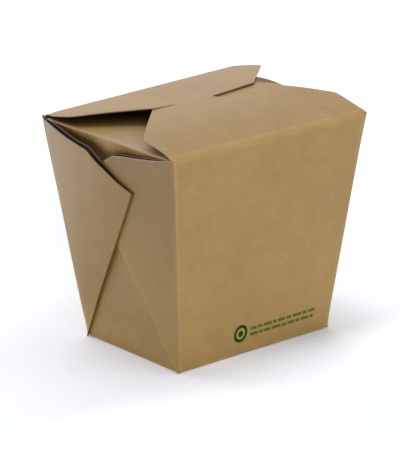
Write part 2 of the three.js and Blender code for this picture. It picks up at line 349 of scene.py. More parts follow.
def side_recess(across, z):
    """The side panel bends inwards under its crease, where the gussets don't hold it."""
    along = 1 - np.clip(np.abs(across) / (half_depth(z) - SIDE_INSET), 0, 1) ** 3
    return SIDE_RECESS * along * smooth(*RECESS_RISE_RANGE, z) * (1 - smooth(*RECESS_FALL_RANGE, z))


def tab_drop(x):
    run = np.clip((np.abs(x) - TAB_LEVEL) / (HALF_WIDTH - TAB_LEVEL), 0, 1)
    return lerp(TAB_END_DROP, TAB_CREASE_DROP, run)


# ---- materials ----

# Where the painted shade is deep the board's shine is turned down too, so that folds painted dark stay brown
DULL_RANGE, DULL_GLOSS = (0.3, 0.5), 0.15
INK_GLOSS = 0.05


def preset(node, numbers):
    for socket, number in numbers.items():
        node.inputs[socket].default_value = number


def ramp(nt, low, high, value, to_low=0.0, to_high=1.0, kind="LINEAR"):
    node = nt.nodes.new("ShaderNodeMapRange")
    node.interpolation_type = kind
    preset(node, {"From Min": low, "From Max": high, "To Min": to_low, "To Max": to_high})
    nt.links.new(value, node.inputs["Value"])
    return node.outputs["Result"]


def noise(nt, coords, scale, detail=2.0, rough=0.5, stretch=(1, 1, 1), distortion=0.0):
    mapping = nt.nodes.new("ShaderNodeMapping")
    mapping.inputs["Scale"].default_value = stretch
    nt.links.new(coords, mapping.inputs["Vector"])
    node = nt.nodes.new("ShaderNodeTexNoise")
    preset(node, {"Scale": scale, "Detail": detail, "Roughness": rough, "Distortion": distortion})
    nt.links.new(mapping.outputs["Vector"], node.inputs["Vector"])
    return node.outputs["Fac"]


def math_node(nt, kind, a, b=None, clamp=False):
    node = nt.nodes.new("ShaderNodeMath")
    node.operation = kind
    node.use_clamp = clamp
    for socket, value in zip(node.inputs, (a, b)):
        if value is None:
            continue
        if isinstance(value, (int, float)):
            socket.default_value = value
        else:
            nt.links.new(value, socket)
    return node.outputs["Value"]


def times(nt, a, b, clamp=False):
    return math_node(nt, "MULTIPLY", a, b, clamp)


def plus(nt, a, b):
    return math_node(nt, "ADD", a, b)


def vector_math(nt, kind, vector, socket, value):
    node = nt.nodes.new("ShaderNodeVectorMath")
    node.operation = kind
    nt.links.new(vector, node.inputs[0])
    nt.links.new(value, node.inputs[socket])
    return node.outputs["Vector"]


def axes(nt, vector):
    node = nt.nodes.new("ShaderNodeSeparateXYZ")
    nt.links.new(vector, node.inputs[0])
    return node.outputs


def mix_colour(nt, factor, a, b):
    node = nt.nodes.new("ShaderNodeMix")
    node.data_type = "RGBA"
    for socket, value in ((node.inputs["Factor"], factor), (node.inputs["A"], a), (node.inputs["B"], b)):
        if isinstance(value, (int, float)):
            socket.default_value = value
        elif isinstance(value, tuple):
            socket.default_value = (*value, 1)
        else:
            nt.links.new(value, socket)
    return node.outputs["Result"]


def new_material(name):
    """A material with its node tree, its shader, and coordinates fixed to the object."""
    material = bpy.data.materials.new(name)
    material.use_nodes = True
    nt = material.node_tree
    return material, nt, nt.nodes["Principled BSDF"], nt.nodes.new("ShaderNodeTexCoord").outputs["Object"]


def attribute(nt, name):
    node = nt.nodes.new("ShaderNodeAttribute")
    node.attribute_name = name
    return node.outputs["Fac"]


def relief(nt, shader, height, strength, distance):
    node = nt.nodes.new("ShaderNodeBump")
    preset(node, {"Strength": strength, "Distance": distance})
    nt.links.new(height, node.inputs["Height"])
    nt.links.new(node.outputs["Normal"], shader.inputs["Normal"])


def kraft(name, base, dark, pale, rough=0.62, bump_height=0.00004, worn=True, gloss=0.5):
    """Unbleached board: long pulp fibres, soft mottling, paler where it is creased or cut and where
    highlights and sheen are painted, darker where shade is painted.
    """
    material, nt, shader, coords = new_material(name)
    mottle = noise(nt, coords, scale=130, detail=4, rough=0.7)
    cloud = noise(nt, coords, scale=22, detail=3)
    fibre_x = noise(nt, coords, scale=900, detail=3, rough=0.65, stretch=(0.22, 1, 1))
    fibre_z = noise(nt, coords, scale=760, detail=3, rough=0.65, stretch=(1, 1, 0.25))
    fibre = times(nt, plus(nt, fibre_x, fibre_z), 0.5)
    fleck = noise(nt, coords, scale=420, detail=1, stretch=(0.45, 1, 0.7), distortion=0.8)

    tone = ramp(nt, 0.3, 0.7, mottle, to_low=-0.7, to_high=0.7)
    tone = plus(nt, tone, ramp(nt, 0.3, 0.7, cloud, to_low=-0.5, to_high=0.5))
    tone = plus(nt, tone, ramp(nt, 0.35, 0.65, fibre, to_low=-0.55, to_high=0.55))
    colour = mix_colour(nt, ramp(nt, -1.4, 1.4, tone), dark, base)
    colour = mix_colour(nt, ramp(nt, 0.68, 0.78, fleck, to_high=0.08), colour, pale)
    colour = mix_colour(nt, ramp(nt, 0.33, 0.26, fleck, to_high=0.1), colour, dark)
    if worn:
        # Painted highlights and sheen, with real rubbing, mix the colour towards pale; painted shade scales
        # it down, or up where it is negative
        kept = ramp(nt, 0.35, 0.7, fibre, to_low=0.55, to_high=1.0)
        colour = mix_colour(nt, times(nt, attribute(nt, "wear_and_highlight"), kept), colour, pale)
        shade = attribute(nt, "shade")
        colour = vector_math(nt, "SCALE", colour, "Scale", math_node(nt, "SUBTRACT", 1.0, shade))
        dulled = ramp(nt, *DULL_RANGE, shade, to_low=gloss, to_high=DULL_GLOSS * gloss)
        nt.links.new(dulled, shader.inputs["Specular IOR Level"])
    else:
        preset(shader, {"Specular IOR Level": gloss})
    nt.links.new(colour, shader.inputs["Base Color"])
    roughness = ramp(nt, 0.3, 0.7, fibre, to_low=rough - 0.07, to_high=rough + 0.07)
    nt.links.new(roughness, shader.inputs["Roughness"])
    surface = plus(nt, times(nt, fibre, 0.7), times(nt, mottle, 0.5))
    relief(nt, shader, surface, strength=0.5, distance=bump_height)
    return material


def ink(name, colour, worn):
    """Flexographic ink on board: the fibres show through it."""
    material, nt, shader, coords = new_material(name)
    fibre = noise(nt, coords, scale=1500, detail=3, rough=0.6, stretch=(0.3, 1, 1))
    mottle = noise(nt, coords, scale=300, detail=2)
    gap = times(nt, ramp(nt, 0.52, 0.7, fibre), ramp(nt, 0.4, 0.7, mottle), clamp=True)
    nt.links.new(mix_colour(nt, gap, colour, worn), shader.inputs["Base Color"])
    nt.links.new(ramp(nt, 0.3, 0.7, fibre, to_low=0.62, to_high=0.78), shader.inputs["Roughness"])
    preset(shader, {"Specular IOR Level": INK_GLOSS})
    relief(nt, shader, fibre, strength=0.4, distance=0.00003)
    return material


OUTSIDE = kraft("kraft_outside", base=(0.446, 0.271, 0.065), dark=(0.336, 0.201, 0.047),
                pale=(0.595, 0.445, 0.33), rough=0.52, gloss=0.6)
INSIDE = kraft("kraft_inside", base=(0.365, 0.25, 0.145), dark=(0.30, 0.20, 0.108), pale=(0.46, 0.34, 0.22),
               worn=False)
# Painted shade: near-black board for the gussets' inner faces, which show only in the gaps between their
# layers
PAINTED_SHADE_BOARD = kraft("kraft_painted_shade", base=(0.05, 0.034, 0.022), dark=(0.03, 0.02, 0.012),
               pale=(0.12, 0.09, 0.06), gloss=0.15, worn=False)
CUT_EDGE = kraft("kraft_cut_edge", base=(0.52, 0.38, 0.26), dark=(0.40, 0.28, 0.18), pale=(0.6, 0.47, 0.36),
                 rough=0.75, bump_height=0.00008, worn=False)
# Painted shade: a dark rim for the back gussets' cut edges, in the gaps between their layers
SHADED_RIM = kraft("kraft_shaded_edge", base=(0.08, 0.06, 0.045), dark=(0.04, 0.03, 0.022),
                  pale=(0.42, 0.36, 0.31), rough=0.75, bump_height=0.00008)
GREEN_INK = ink("green_ink", colour=(0.001, 0.074, 0.003), worn=(0.008, 0.115, 0.01))
THIN_INK = ink("green_ink_thin", colour=(0.1, 0.128, 0.018), worn=(0.18, 0.165, 0.03))


# ---- meshes ----

SHARP_ANGLE = math.radians(42)


def surface_normals(grid):
    across = np.gradient(grid, axis=0)
    along = np.gradient(grid, axis=1)
    normal = np.cross(across, along)
    length = np.linalg.norm(normal, axis=2, keepdims=True)
    return normal / np.maximum(length, 1e-12)


def edge_distance(grid):
    """Distance of each point of a grid from the grid's nearest border, along the grid."""
    nearest = np.full(grid.shape[:2], np.inf)
    for axis in (0, 1):
        steps = np.linalg.norm(np.diff(grid, axis=axis), axis=2)
        pad = [(1, 0), (0, 0)] if axis == 0 else [(0, 0), (1, 0)]
        reach = np.cumsum(np.pad(steps, pad), axis=axis)
        total = reach[-1:, :] if axis == 0 else reach[:, -1:]
        nearest = np.minimum(nearest, np.minimum(reach, total - reach))
    return nearest


def new_mesh(name, points, faces, runs):
    """A mesh whose faces come in runs, each a material and a number of faces."""
    mesh = bpy.data.meshes.new(name)
    mesh.from_pydata(points, [], faces)
    for material, _ in runs:
        mesh.materials.append(material)
    slots = np.repeat(np.arange(len(runs)), [count for _, count in runs]).astype(np.int32)
    mesh.polygons.foreach_set("material_index", slots)
    return mesh


def new_object(name, data):
    made = bpy.data.objects.new(name, data)
    bpy.context.scene.collection.objects.link(made)
    return made


def store(mesh, name, outer_values):
    """Keeps a value at each point of the outer face, and 0 at those of the inner face."""
    values = np.concatenate([outer_values.ravel(), np.zeros(outer_values.size)]).astype(np.float32)
    mesh.attributes.new(name, "FLOAT", "POINT").data.foreach_set("value", values)


def board(name, outer, facing, wear_and_highlight, shade, at=None, edge_wear=CUT_EDGE_WEAR, inside=INSIDE,
          rim_board=CUT_EDGE):
    """A closed sheet of board. outer is its outer face, a grid of points in mm, and facing a direction that
    the face looks towards at one of those points, the middle one unless another is named."""
    nu, nv = outer.shape[:2]
    normal = surface_normals(outer)
    flip = float(np.dot(normal[at or (nu // 2, nv // 2)], facing)) < 0
    if flip:
        normal = -normal
    inner = outer - normal * BOARD
    count = nu * nv
    index = np.arange(count).reshape(nu, nv)
    quads = np.stack([index[:-1, :-1], index[1:, :-1], index[1:, 1:], index[:-1, 1:]], axis=2).reshape(-1, 4)
    top = quads[:, ::-1] if flip else quads
    bottom = top[:, ::-1] + count
    ring = np.concatenate([index[:, 0], index[-1, 1:], index[-2::-1, -1], index[0, -2:0:-1]])
    following = np.roll(ring, -1)
    rim = np.stack([following, ring, ring + count, following + count], axis=1)
    if flip:
        rim = rim[:, ::-1]
    faces = np.concatenate([top, bottom, rim])
    points = np.concatenate([outer.reshape(-1, 3), inner.reshape(-1, 3)]) * MM

    runs = [(OUTSIDE, len(top)), (inside, len(bottom)), (rim_board, len(rim))]
    mesh = new_mesh(name, points.tolist(), faces.tolist(), runs)
    at_edge = edge_wear * bump(0, CUT_EDGE_WIDTH, edge_distance(outer))
    store(mesh, "wear_and_highlight", np.maximum(at_edge, wear_and_highlight))
    store(mesh, "shade", shade)
    mesh.shade_smooth()
    mesh.set_sharp_from_angle(angle=SHARP_ANGLE)
    mesh.validate()
    mesh.update()
    return place(name, mesh)


def place(name, mesh):
    piece = new_object(name, mesh)
    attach(piece, "root")
    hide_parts("noodle_box")
    return piece


def bezier(a, b, c, t):
    return (1 - t) ** 2 * a + 2 * t * (1 - t) * b + t ** 2 * c


def rounded(a, b, c, t, weight):
    """Like bezier, but hugging the corner b more closely the larger the weight."""
    shares = (1 - t) ** 2, 2 * weight * t * (1 - t), t ** 2
    return (shares[0] * a + shares[1] * b + shares[2] * c) / sum(shares)


def dense_ends(count):
    """0 to 1 in count steps, closer together at both ends."""
    t = np.linspace(-1, 1, count)
    return 0.5 + 0.5 * np.sign(t) * (1 - (1 - np.abs(t)) ** CROWDING)


def line_wear(distance, width, strength):
    """Wear along a line, fading out over width."""
    return strength * np.exp(-((distance / width) ** 2))


class Sheet:
    """A panel with what folds in at its crease. Each kind of row has a function, which takes a value and the
    columns' places, 0 to 1, and gives x, y, z, wear and shade."""

    def wall_rows(self, heights):
        """Rows from under the base up over the crease, as (function, value)."""
        rows = [(self.base_row, t) for t in BASE_ROWS] + [(self.bottom_row, t) for t in BOTTOM]
        return rows + [(self.panel_row, z) for z in heights] + [(self.fold_row, t) for t in FOLD[1:]]

    def grid(self, rows, spread):
        points = np.zeros((len(spread), len(rows), 3))
        wear_and_highlight, shade = np.zeros(points.shape[:2]), np.zeros(points.shape[:2])
        for j, (row, value) in enumerate(rows):
            points[:, j, 0], points[:, j, 1], points[:, j, 2], wear_and_highlight[:, j], shade[:, j] = row(value, spread)
        return points, wear_and_highlight, shade


# ---- wide panels with their flaps ----

class WideSheet(Sheet):
    """Front (sign -1) or back (sign 1) panel with its flap."""

    def __init__(self, sign, right_cut, notch, turns, fold):
        self.sign = sign
        self.right_cut = right_cut
        self.notch = notch
        self.turns = turns
        self.fold_down = fold[0]
        self.near = HALF_DEPTH - fold[1]

    def crease(self, x):
        return front_crease(x) if self.sign < 0 else back_lift(x)

    def flap(self, x, depth):
        return front_flap(x, -depth) if self.sign < 0 else back_flap(x, depth)

    def flap_sides(self, y):
        """Left and right end of a flap's row, y being the distance from the ridge towards the crease."""

        def inset(longest, turn):
            inward = CUT_CORNER - y
            soft = 0.5 * (inward + math.sqrt(inward ** 2 + turn ** 2))
            return min(soft if abs(inward) < SOFT_TURN else max(inward, 0), longest)

        root = self.notch * float(smooth(HALF_DEPTH - ROOT_NOTCH_LENGTH, HALF_DEPTH - CREASE, y))
        left = -HALF_WIDTH + inset(CUT_CORNER, self.turns[0]) + root
        return left, HALF_WIDTH + self.end_extra(y) - inset(self.right_cut, self.turns[1])

    def end_extra(self, y):
        """The back flap is a little longer on the right, at its cut corner."""
        if self.sign < 0:
            return 0
        return BACK_END_EXTRA * float(smooth(*EXTRA_RISE_RANGE, y) * (1 - smooth(*EXTRA_FALL_RANGE, y)))

    def base_row(self, value, spread):
        outer = BASE_WIDTH / 2 - CORNER_FRONT
        return lerp(-outer, outer, spread), self.sign * (BASE_DEPTH / 2 - CREASE + value), 0, 0, 0

    def bottom_row(self, value, spread):
        outer = lerp(BASE_WIDTH / 2, half_width(CREASE) + corner_out(self.sign, CREASE), value) - CORNER_FRONT
        x = lerp(-outer, outer, spread)
        half = BASE_DEPTH / 2
        depth = bezier(half - CREASE, half, half_depth(CREASE), value)
        wear_and_highlight = np.maximum(self.side_wear_and_highlight(outer - np.abs(x), 0), WIDE_BOTTOM_WEAR * math.sin(math.pi * value))
        return x, self.sign * depth, bezier(0, 0, CREASE, value), wear_and_highlight, 0

    def panel_row(self, value, spread):
        value = min(value, HEIGHT - self.fold_down)
        outer = half_width(value) + corner_out(self.sign, value) - CORNER_FRONT
        x = lerp(-outer, outer, spread)
        z = value + self.crease(x) * smooth(*LIFT_RANGE, value)
        wear_and_highlight = self.side_wear_and_highlight(outer - np.abs(x), value)
        shade = 0
        # On the front panel: painted shade, less just under the fold, with a painted highlight there
        if self.sign < 0:
            bent = math.exp(-(HEIGHT - self.fold_down - value) / FRONT_TOP_REACH)
            shade = lerp(lerp(FRONT_SHADE_LOW, FRONT_SHADE_HIGH, value / HEIGHT), FRONT_SHADE_FOLD, bent)
            wear_and_highlight = np.maximum(FRONT_TOP_HIGHLIGHT * bent, wear_and_highlight)
        return x, self.sign * half_depth(value), z, wear_and_highlight, shade

    def side_wear_and_highlight(self, distance, height):
        """Along a wide panel's sides the board is worn paler; the front ones also get a painted highlight
        towards the top.
        """
        more = FRONT_EDGE_HIGHLIGHT * float(smooth(*FRONT_EDGE_RANGE, height)) if self.sign < 0 else 0
        return line_wear(distance, SIDE_EDGE_WIDTH, SIDE_EDGE_WEAR + more)

    def fold_row(self, value, spread):
        outer = half_width(HEIGHT) + corner_out(self.sign, HEIGHT) - lerp(CORNER_FRONT, FOLD_END_INSET, value)
        x = lerp(-outer + self.notch * value, outer, spread)
        crease = self.crease(x)
        depth = bezier(half_depth(HEIGHT - self.fold_down), HALF_DEPTH, self.near, value)
        z = bezier(HEIGHT - self.fold_down + crease, HEIGHT + crease, HEIGHT + self.flap(x, self.near), value)
        crest = math.sin(math.pi * value)
        if self.sign > 0:
            return x, depth, z, BACK_FOLD_WEAR * crest, 0
        # Painted light and a painted highlight along the front fold
        shade = -FRONT_FOLD_LIGHT * smooth(*FRONT_FOLD_RANGE, value) - FRONT_FOLD_CREST * crest
        return x, -depth, z, lerp(*FRONT_FOLD_HIGHLIGHT, value), shade

    def flap_row(self, value, spread):
        left, right = self.flap_sides(max(value, 0.0))
        if value < 0:
            left, right = -HALF_WIDTH + CUT_CORNER - value, HALF_WIDTH - self.right_cut
        x = lerp(left, right, spread)
        depth = np.full_like(x, value)
        z = HEIGHT + self.flap(x, np.maximum(depth, 0))
        # The back flap gets painted sheen; the front flap gets painted sheen, light and shade
        if self.sign > 0:
            return x, depth, z, BACK_FLAP_SHEEN, 0
        if value < 0:
            z = tucked(x, value, z)
        return (x, -depth, z, *front_flap_tone(x, value))

    def rows(self):
        """From under the base up to the flap's free edge."""
        top = HEIGHT - self.fold_down
        rows = self.wall_rows([z for z in PANEL[1:] if z < top - LAST_ROW_GAP] + [top])
        stops = [self.near] + FLAP_STOPS
        ys = []
        for a, b in zip(stops, stops[1:]):
            ys += list(np.linspace(a, b, max(2, int((a - b) / FLAP_STEP) + 1))[:-1])
        ys += [0.0] + (TUCK_STOPS if self.sign < 0 else [])
        return rows + [(self.flap_row, y) for y in ys[1:]]

    def columns(self):
        """0 to 1 from left to right, with more columns round the ends of the slit."""
        left, right = -HALF_WIDTH + CUT_CORNER, HALF_WIDTH - self.right_cut
        ends = np.concatenate([SLIT_LEFT - SLIT_COLUMNS, SLIT_RIGHT + SLIT_COLUMNS])
        return np.unique(np.concatenate([dense_ends(WIDE_COLUMNS), (ends - left) / (right - left)]))

    def build(self, name):
        rows = self.rows()
        points, wear_and_highlight, shade = self.grid(rows, self.columns())
        cut = np.array([CUT_EDGE_WEAR if row == self.flap_row else 0.0 for row, _ in rows])
        return board(name, points, (0, self.sign, 0), wear_and_highlight, shade, edge_wear=cut[None, :])


def tucked(x, y, z):
    """Height of the front flap past the ridge, at y < 0. It goes down under the back flap, and lies lowest
    at the slit."""
    free = front_ridge(x) - TUCK_DIP * float(bump(*TUCK_DIP_AT, y))
    under = HEIGHT + np.minimum(free - slot_drop(x, 0.0), back_flap(x, -y) - BOARD - TUCK_GAP)
    middle = 1 - np.clip(shoulder(x), 0, 1)
    lowered = np.minimum(under, z - SLIT_DEPTH * middle)
    return lerp(z, lowered, np.maximum(smooth(*TUCK_RANGE, -y), middle * smooth(*SLIT_RANGE, -y)))


def front_flap_tone(x, y):
    """Painted light and shade of the front flap, with its sheen: a painted highlight beside its fold, and the
    painted shadow of the back flap's wing at the right end of the ridge.
    """
    reach = END_REACH + END_REACH_MORE * float(smooth(*END_REACH_RANGE, y))
    in_wing_shadow = 1 - smooth(END_SHADE_CORE * reach, reach, HALF_WIDTH - SHORT_CUT - x)
    bent = math.exp(-(HALF_DEPTH - y) / BENT_REACH)
    shade = END_SHADE * in_wing_shadow * float(smooth(*END_SHADE_RANGE, y)) - BENT_LIGHT * bent
    return FRONT_FLAP_SHEEN + BENT_HIGHLIGHT * bent, shade


# ---- side panels and base ----

class SideSheet(Sheet):
    """A narrow side panel with its tab folded in under the flaps."""

    def __init__(self, side):
        self.side = side

    def base_row(self, value, spread):
        out = BASE_DEPTH / 2 - CREASE
        return self.side * (BASE_WIDTH / 2 - CREASE + value), lerp(-out, out, spread), 0, 0, 0

    def bottom_row(self, value, spread):
        out = BASE_DEPTH / 2 - CREASE
        x = bezier(BASE_WIDTH / 2 - CREASE, BASE_WIDTH / 2, half_width(CREASE), value)
        wear_and_highlight = SIDE_BOTTOM_WEAR * math.sin(math.pi * value)
        # The bottom bend gets painted light, as the panel's foot does
        return self.side * x, lerp(-out, out, spread), bezier(0, 0, CREASE, value), wear_and_highlight, -SIDE_FOOT_LIGHT

    def panel_row(self, value, spread):
        out = half_depth(value) - SIDE_INSET
        across = lerp(-out, out - TAB_CUT_BACK * float(smooth(*CUT_BACK_RANGE, value)), spread)
        # Painted light on a strip under the crease, and painted light near the panel's foot
        lit_strip = bump(*STRIP_LIGHT_AT, spread) * smooth(*STRIP_LIGHT_RANGE, value)
        shade = -SIDE_FOOT_LIGHT * smooth(*SIDE_FOOT_RANGE, value) - STRIP_LIGHT * lit_strip
        x = half_width(value) - side_recess(across, value)
        return self.side * x, across, value, STRIP_LIGHT_PALE * lit_strip, shade

    def fold_row(self, value, spread):
        out = HALF_DEPTH - SIDE_FOLD_INSET
        x = bezier(half_width(HEIGHT - CREASE), HALF_WIDTH - SIDE_FOLD_CLEAR, TAB_START, value)
        z = bezier(HEIGHT - CREASE, HEIGHT - SIDE_FOLD_CLEAR, HEIGHT - tab_drop(TAB_START), value)
        # Painted highlight along the fold, stronger towards the front
        wear_and_highlight = self.lit_and_rubbed(spread) * SIDE_FOLD_HIGHLIGHT * math.sin(math.pi * value) ** SIDE_FOLD_POWER
        return self.side * x, lerp(-out, out - TAB_CUT_BACK, spread), z, wear_and_highlight, 0

    def tab_row(self, value, spread):
        out = HALF_DEPTH - TAB_INSET - (TAB_START - value)
        across = lerp(-out, out - TAB_CUT_BACK, spread)
        # Painted highlight at the tab's root, and painted sheen over the tab
        root = math.exp(-(((TAB_START - value) / TAB_ROOT_WIDTH) ** 2))
        wear_and_highlight = self.lit_and_rubbed(spread) * (TAB_SHEEN + TAB_ROOT_HIGHLIGHT * root)
        # Painted shadow inwards under the flaps, and painted light at the tab's front end
        deep = POCKET_X + POCKET_TURN * np.maximum(across, 0)
        shade = POCKET_SHADE * smooth(deep + POCKET_START, deep + POCKET_END, value)
        shade = shade - TAB_FRONT_LIGHT * smooth(*TAB_FRONT_RANGE, spread)
        return self.side * value, across, HEIGHT - tab_drop(value), wear_and_highlight, shade

    def lit_and_rubbed(self, spread):
        """Share of the painted highlight and sheen on the tab and its fold, larger towards the front."""
        return TAB_HIGHLIGHT + TAB_HIGHLIGHT_MORE * smooth(*TAB_HIGHLIGHT_RANGE, spread)

    def build(self, name):
        tab_rows = [(self.tab_row, x) for x in np.linspace(TAB_START, TAB_END, TAB_ROWS)]
        points, wear_and_highlight, shade = self.grid(self.wall_rows(PANEL[1:]) + tab_rows, dense_ends(SIDE_COLUMNS))
        return board(name, points, (self.side, 0, 0), wear_and_highlight, shade)


def base_sheet():
    grid = np.zeros((*BASE_GRID, 3))
    across, along = BASE_WIDTH / 2 - CREASE, BASE_DEPTH / 2 - CREASE
    grid[..., 0] = lerp(-across, across, np.linspace(0, 1, BASE_GRID[0]))[:, None]
    grid[..., 1] = lerp(-along, along, np.linspace(0, 1, BASE_GRID[1]))
    grid[..., 2] = BASE_LIFT
    plain = np.zeros(grid.shape[:2])
    return board("base_panel", grid, (0, 0, -1), plain, plain, edge_wear=0)


# ---- gussets ----

def top_reach(top, turn):
    """Distance from the base corner to a gusset's cut edge, at an angle from the corner's line."""
    angle = turn - SIDE_CORNER_LEAN
    ray = np.array([-math.sin(angle), math.cos(angle)])
    origin = np.array([BASE_DEPTH / 2, 0.0])
    points = [np.array(p) for p in top]
    first = points[0] + (points[0] - points[1]) * 0.5
    last = points[-1] + (points[-1] - points[-2]) * 0.5
    points = [first] + points[1:-1] + [last]
    for a, b in zip(points, points[1:]):
        edge = b - a
        matrix = np.array([[ray[0], -edge[0]], [ray[1], -edge[1]]])
        reach, along = np.linalg.solve(matrix, a - origin)
        if -1e-6 <= along <= 1 + 1e-6 and reach > 0:
            return reach
    return reach


class Gusset:
    """A corner's spare board folded in half and laid on the narrow side: outer layer, fold, inner layer. Its
    first columns turn round the corner from the wide panel. share runs from the corner (0) to the fold (1),
    and t from the base corner (0) to the cut edge (1)."""

    def __init__(self, shape, side, corner):
        self.shape = shape
        self.side = side
        self.corner = corner
        self.fold_at, self.fold_turn = zip(*shape["fold"])
        self.samples = np.linspace(0, 1, EDGE_SAMPLES)
        self.reaches = [self.edge_reach(shape["top"], s) for s in self.samples]
        self.inner_reaches = [self.edge_reach(shape["inner_top"], s) for s in self.samples]

    def bend(self, radius):
        """The fold's angle from the corner, as a share of GUSSET_ANGLE."""
        return np.interp(radius, self.fold_at, self.fold_turn)

    def edge_reach(self, top, share):
        """Distance from the base corner to a layer's cut edge."""
        reach = HEIGHT
        for _ in range(3):
            reach = top_reach(top, share * GUSSET_ANGLE * self.bend(reach))
        return reach

    def column_of(self, across, up):
        """Where a point of the narrow side lies between the end of the corner's bend and the fold."""
        turn = math.atan2(BASE_DEPTH / 2 - across, up) + SIDE_CORNER_LEAN
        reach = math.hypot(BASE_DEPTH / 2 - across, up)
        share = turn / (GUSSET_ANGLE * self.bend(reach))
        first = CORNER_SIDE / (reach * GUSSET_ANGLE)
        return (share - first) / (1 - first)

    def columns(self):
        """(kind, value) of each column. The bends of the cut edges get columns of their own."""
        corners = self.shape["top"][1:-1] + self.shape["inner_top"][1:-1]
        bends = np.array([self.column_of(across, up) for across, up in corners])
        bends = bends[(bends > NEAREST_BEND) & (bends < 1)]
        spread = np.unique(np.round(np.concatenate([GUSSET_COLUMNS, bends, bends + BEND_COLUMN]), 3))
        columns = [("corner", t) for t in np.linspace(0, 1, BEND_STEPS)[:-1]]
        columns += [("outer", s) for s in spread]
        columns += [("turn", a) for a in np.linspace(0, math.pi, BEND_STEPS)[1:-1]]
        return columns + [("inner", s) for s in spread[::-1]]

    def fold_radius(self, radius):
        return BOARD + LAYER_GAP + self.shape["spring"] * (radius / HEIGHT) ** 2

    def layers(self, share, radius):
        """How far the outer face stands off the narrow side."""
        body = 2 * self.fold_radius(radius) + self.shape["lap"] * min(radius / LAP_START, 1)
        puff, length = self.shape["puff"]
        puffed = puff * min(radius / PUFF_START, 1) * (1 - math.exp(-share * GUSSET_ANGLE * radius / length))
        puffed = (puffed + corner_out(self.corner, radius)) * (1 - share)
        arch = max(math.sin(math.pi * share), 0)
        flared = self.shape["flare"] * (radius / HEIGHT) ** FLARE_POWER * arch ** FLARE_ARCH
        return share * body + self.shape["bow"] * (radius / HEIGHT) * arch + puffed + flared

    def inner_layer(self, share, radius):
        """How far the inner layer's lower face stands off the narrow side."""
        at_fold = self.layers(1.0, radius) - 2 * self.fold_radius(radius)
        rest = INNER_CLEAR + self.shape["inner_rise"] * (radius / HEIGHT) * math.sin(math.pi * share)
        rest = lerp(rest, at_fold, float(smooth(*INNER_MEET_RANGE, share)))
        return min(rest, self.layers(share, radius) - 2 * self.fold_radius(radius))

    def edge_wear(self, distance):
        return self.shape["edge_wear"] * math.exp(-((distance / self.shape["edge_width"]) ** 2))

    def tone(self, share, radius):
        """Painted shade of the outer face, less the painted light along the fold and near the base."""
        at_corner, at_fold = self.shape["shade"]
        crest = self.shape["crest"] * math.exp(-(1 - share) * GUSSET_ANGLE * radius / CREST_REACH)
        foot = self.shape["foot"] * float(smooth(*FOOT_RANGE, radius))
        top = lerp(at_corner, at_fold, share ** 2) * float(smooth(*GUSSET_SHADE_RANGE, radius))
        return top - crest - foot

    def polar(self, share, t, table):
        """Distance from the base corner, and place on the narrow side."""
        radius = t * np.interp(share, self.samples, table)
        turn = share * GUSSET_ANGLE * self.bend(radius) - SIDE_CORNER_LEAN
        return radius, BASE_DEPTH / 2 - radius * math.sin(turn), radius * math.cos(turn)

    def on_side(self, across, up, out):
        x = self.side * (BASE_WIDTH / 2 + up * math.sin(SIDE_LEAN) + out * math.cos(SIDE_LEAN))
        return (x, self.corner * across, up * math.cos(SIDE_LEAN) - out * math.sin(SIDE_LEAN))

    def corner_guides(self, t, first):
        """The corner's bend at t: its start on the wide panel, its sharp corner, and its end."""
        z = t * self.reaches[0] * math.cos(SIDE_CORNER_LEAN) * math.cos(SIDE_LEAN)
        x, y = half_width(z) + corner_out(self.corner, z), self.corner * half_depth(z)
        start = np.array([self.side * (x - CORNER_FRONT - CORNER_OVERLAP), y, z])
        radius, across, up = self.polar(first, t, self.reaches)
        end = self.on_side(across, up, self.layers(first, radius))
        return start, np.array([self.side * x, y, z]), np.array(end)

    def corner_point(self, guides, value, t, first):
        wear_and_highlight = max(CORNER_WEAR * (1 - value), value * self.edge_wear((1 - t) * self.reaches[0]))
        return rounded(*guides, value, CORNER_HUG), wear_and_highlight, value * self.tone(first, t * self.reaches[0])

    def outer_point(self, share, t):
        radius, across, up = self.polar(share, t, self.reaches)
        # The fold's rubbing, painted sheen that fades from the corner, and the cut edge's rubbing
        wear_and_highlight = max(
            line_wear((1 - share) * GUSSET_ANGLE * radius, FOLD_WEAR_WIDTH, self.shape["fold_wear"]),
            self.shape["sheen"] * (1 - share) ** SHEEN_POWER * float(smooth(*SHEEN_RANGE, radius)),
            self.edge_wear((1 - t) * radius / t),
        )
        return self.on_side(across, up, self.layers(share, radius)), wear_and_highlight, self.tone(share, radius)

    def turn_point(self, angle, t):
        """A point of the fold, which turns by half a circle from the outer layer to the inner one."""
        radius, across, up = self.polar(1.0, t, self.reaches)
        around = self.fold_radius(radius)
        out = self.layers(1.0, radius) - around + around * math.cos(angle)
        ahead = around * math.sin(angle)
        fold_angle = GUSSET_ANGLE - SIDE_CORNER_LEAN
        across -= ahead * math.cos(fold_angle)
        up -= ahead * math.sin(fold_angle)
        return self.on_side(across, up, out), self.shape["fold_wear"], self.shape["fold_shade"]

    def inner_point(self, share, t):
        radius, across, up = self.polar(share, t, self.inner_reaches)
        return self.on_side(across, up, self.inner_layer(share, radius)), 1.0 if t == 1 else 0.0, 0.0

